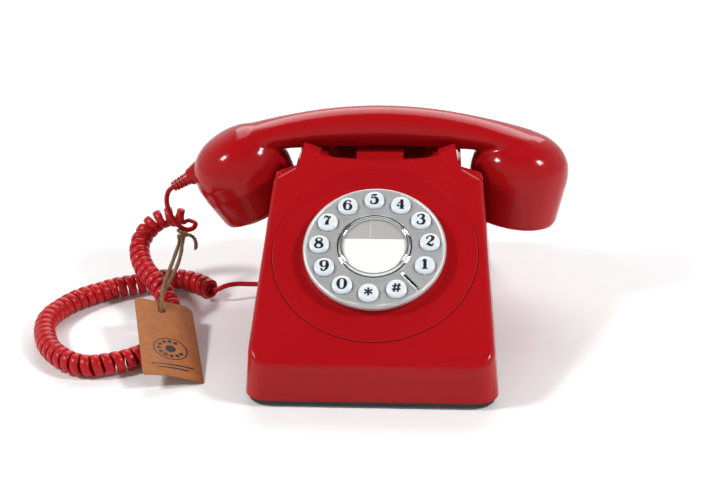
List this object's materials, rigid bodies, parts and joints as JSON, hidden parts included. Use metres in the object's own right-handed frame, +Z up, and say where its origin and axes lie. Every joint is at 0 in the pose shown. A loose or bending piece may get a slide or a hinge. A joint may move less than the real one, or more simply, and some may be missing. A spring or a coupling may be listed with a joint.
{
  "type": "desk telephone",
  "caption": "Desk telephone with a sloping case, a round push-button dial styled as a rotary dial, a lift-off handset on a cradle and a curly handset cord with a swing tag.",
  "frame": {"origin": "centre of the footprint of the telephone, on the surface it stands on", "axes": "+X to the right of the person calling, +Y to the back, +Z up"},
  "size_m": [0.3058, 0.1964, 0.1152],
  "materials": {
    "red_shell": "high gloss moulded red plastic",
    "black_base": "fine matt black plastic",
    "foot_rubber": "matt black rubber",
    "steel": "plated steel",
    "component": "moulded component bodies",
    "circuit_board": "green lacquered board",
    "white_frame": "off-white moulded plastic",
    "grey_rubber": "grey silicone mat",
    "chrome": "polished chrome",
    "clear_window": "clear moulded window",
    "card": "printed card",
    "silver_plate": "fine satin silver",
    "button_cap": "glossy pale blue-white plastic",
    "cord_red": "glossy flexible red sheath",
    "clear_plug": "clear moulded plug",
    "kraft_card": "uncoated brown card",
    "jute": "two-ply jute twine",
    "copper_winding": "wound copper wire",
    "bell_brass": "satin brass"
  },
  "bodies": {
    "case": {"base_plate": "black_base", "base_screws": "steel", "base_weight": "steel", "board_components": "component", "card_bezel": "chrome", "card_window": "clear_window", "cord_coil": "cord_red", "cord_lower_lead": "cord_red", "cord_plug": "clear_plug", "cover": "red_shell", "dial_plate": "silver_plate", "dial_surround": "red_shell", "finger_stop": "chrome", "gong_left": "bell_brass", "gong_right": "bell_brass", "gong_screws": "steel", "handset_socket": "black_base", "hook_bracket": "steel", "hook_spring": "steel", "hook_switch": "black_base", "keypad_board": "circuit_board", "keypad_frame": "white_frame", "keypad_membrane": "grey_rubber", "keypad_screws": "steel", "line_jack": "black_base", "main_board": "circuit_board", "number_card": "card", "ringer_coil": "copper_winding", "ringer_frame": "steel", "rubber_feet": "foot_rubber", "swing_tag": "kraft_card", "tag_string": "jute", "volume_switch_body": "black_base"},
    "handset": {"handset_handle": "red_shell", "earpiece_cap": "red_shell", "mouthpiece_cap": "red_shell", "receiver": "black_base", "microphone": "black_base", "handset_weight": "steel", "cord_gland": "red_shell", "strain_relief_boot": "cord_red", "cord_upper_lead": "cord_red"},
    "hook_plunger": {"hook_plunger": "red_shell"},
    "ringer_hammer": {"ringer_hammer": "bell_brass"},
    "volume_switch": {"volume_switch": "white_frame"},
    "button_1": {"button_1": "button_cap"},
    "button_2": {"button_2": "button_cap"},
    "button_3": {"button_3": "button_cap"},
    "button_4": {"button_4": "button_cap"},
    "button_5": {"button_5": "button_cap"},
    "button_6": {"button_6": "button_cap"},
    "button_7": {"button_7": "button_cap"},
    "button_8": {"button_8": "button_cap"},
    "button_9": {"button_9": "button_cap"},
    "button_0": {"button_0": "button_cap"},
    "button_star": {"button_star": "button_cap"},
    "button_hash": {"button_hash": "button_cap"}
  },
  "joints": [
    {"name": "handset_lift", "type": "slide", "parent": "case", "child": "handset", "axis": [0, 0, 1], "range_m": [0, 0.12]},
    {"name": "hook_plunger_slide", "type": "slide", "parent": "case", "child": "hook_plunger", "axis": [0, 0, 1], "range_m": [0, 0.005], "deforming": ["hook_spring"]},
    {"name": "ringer_hammer_swing", "type": "hinge", "parent": "case", "child": "ringer_hammer", "pos_m": [0, 0.09, 0.02], "axis": [0, 0, 1], "range_deg": [-6.5, 6.5], "stiffness_Nm_per_rad": 0.004},
    {"name": "volume_switch_slide", "type": "slide", "parent": "case", "child": "volume_switch", "axis": [1, 0, 0], "range_m": [0, 0.004]},
    {"name": "button_1_press", "type": "slide", "parent": "case", "child": "button_1", "axis": [0, 0.5264, -0.8503], "range_m": [0, 0.0015], "stiffness_N_per_m": 400},
    {"name": "button_2_press", "type": "slide", "parent": "case", "child": "button_2", "axis": [0, 0.5264, -0.8503], "range_m": [0, 0.0015], "stiffness_N_per_m": 400},
    {"name": "button_3_press", "type": "slide", "parent": "case", "child": "button_3", "axis": [0, 0.5264, -0.8503], "range_m": [0, 0.0015], "stiffness_N_per_m": 400},
    {"name": "button_4_press", "type": "slide", "parent": "case", "child": "button_4", "axis": [0, 0.5264, -0.8503], "range_m": [0, 0.0015], "stiffness_N_per_m": 400},
    {"name": "button_5_press", "type": "slide", "parent": "case", "child": "button_5", "axis": [0, 0.5264, -0.8503], "range_m": [0, 0.0015], "stiffness_N_per_m": 400},
    {"name": "button_6_press", "type": "slide", "parent": "case", "child": "button_6", "axis": [0, 0.5264, -0.8503], "range_m": [0, 0.0015], "stiffness_N_per_m": 400},
    {"name": "button_7_press", "type": "slide", "parent": "case", "child": "button_7", "axis": [0, 0.5264, -0.8503], "range_m": [0, 0.0015], "stiffness_N_per_m": 400},
    {"name": "button_8_press", "type": "slide", "parent": "case", "child": "button_8", "axis": [0, 0.5264, -0.8503], "range_m": [0, 0.0015], "stiffness_N_per_m": 400},
    {"name": "button_9_press", "type": "slide", "parent": "case", "child": "button_9", "axis": [0, 0.5264, -0.8503], "range_m": [0, 0.0015], "stiffness_N_per_m": 400},
    {"name": "button_0_press", "type": "slide", "parent": "case", "child": "button_0", "axis": [0, 0.5264, -0.8503], "range_m": [0, 0.0015], "stiffness_N_per_m": 400},
    {"name": "button_star_press", "type": "slide", "parent": "case", "child": "button_star", "axis": [0, 0.5264, -0.8503], "range_m": [0, 0.0015], "stiffness_N_per_m": 400},
    {"name": "button_hash_press", "type": "slide", "parent": "case", "child": "button_hash", "axis": [0, 0.5264, -0.8503], "range_m": [0, 0.0015], "stiffness_N_per_m": 400}
  ],
  "couplings": [
    {"joint": "hook_plunger_slide", "follows": "handset_lift", "ratio": 0.041667}
  ]
}
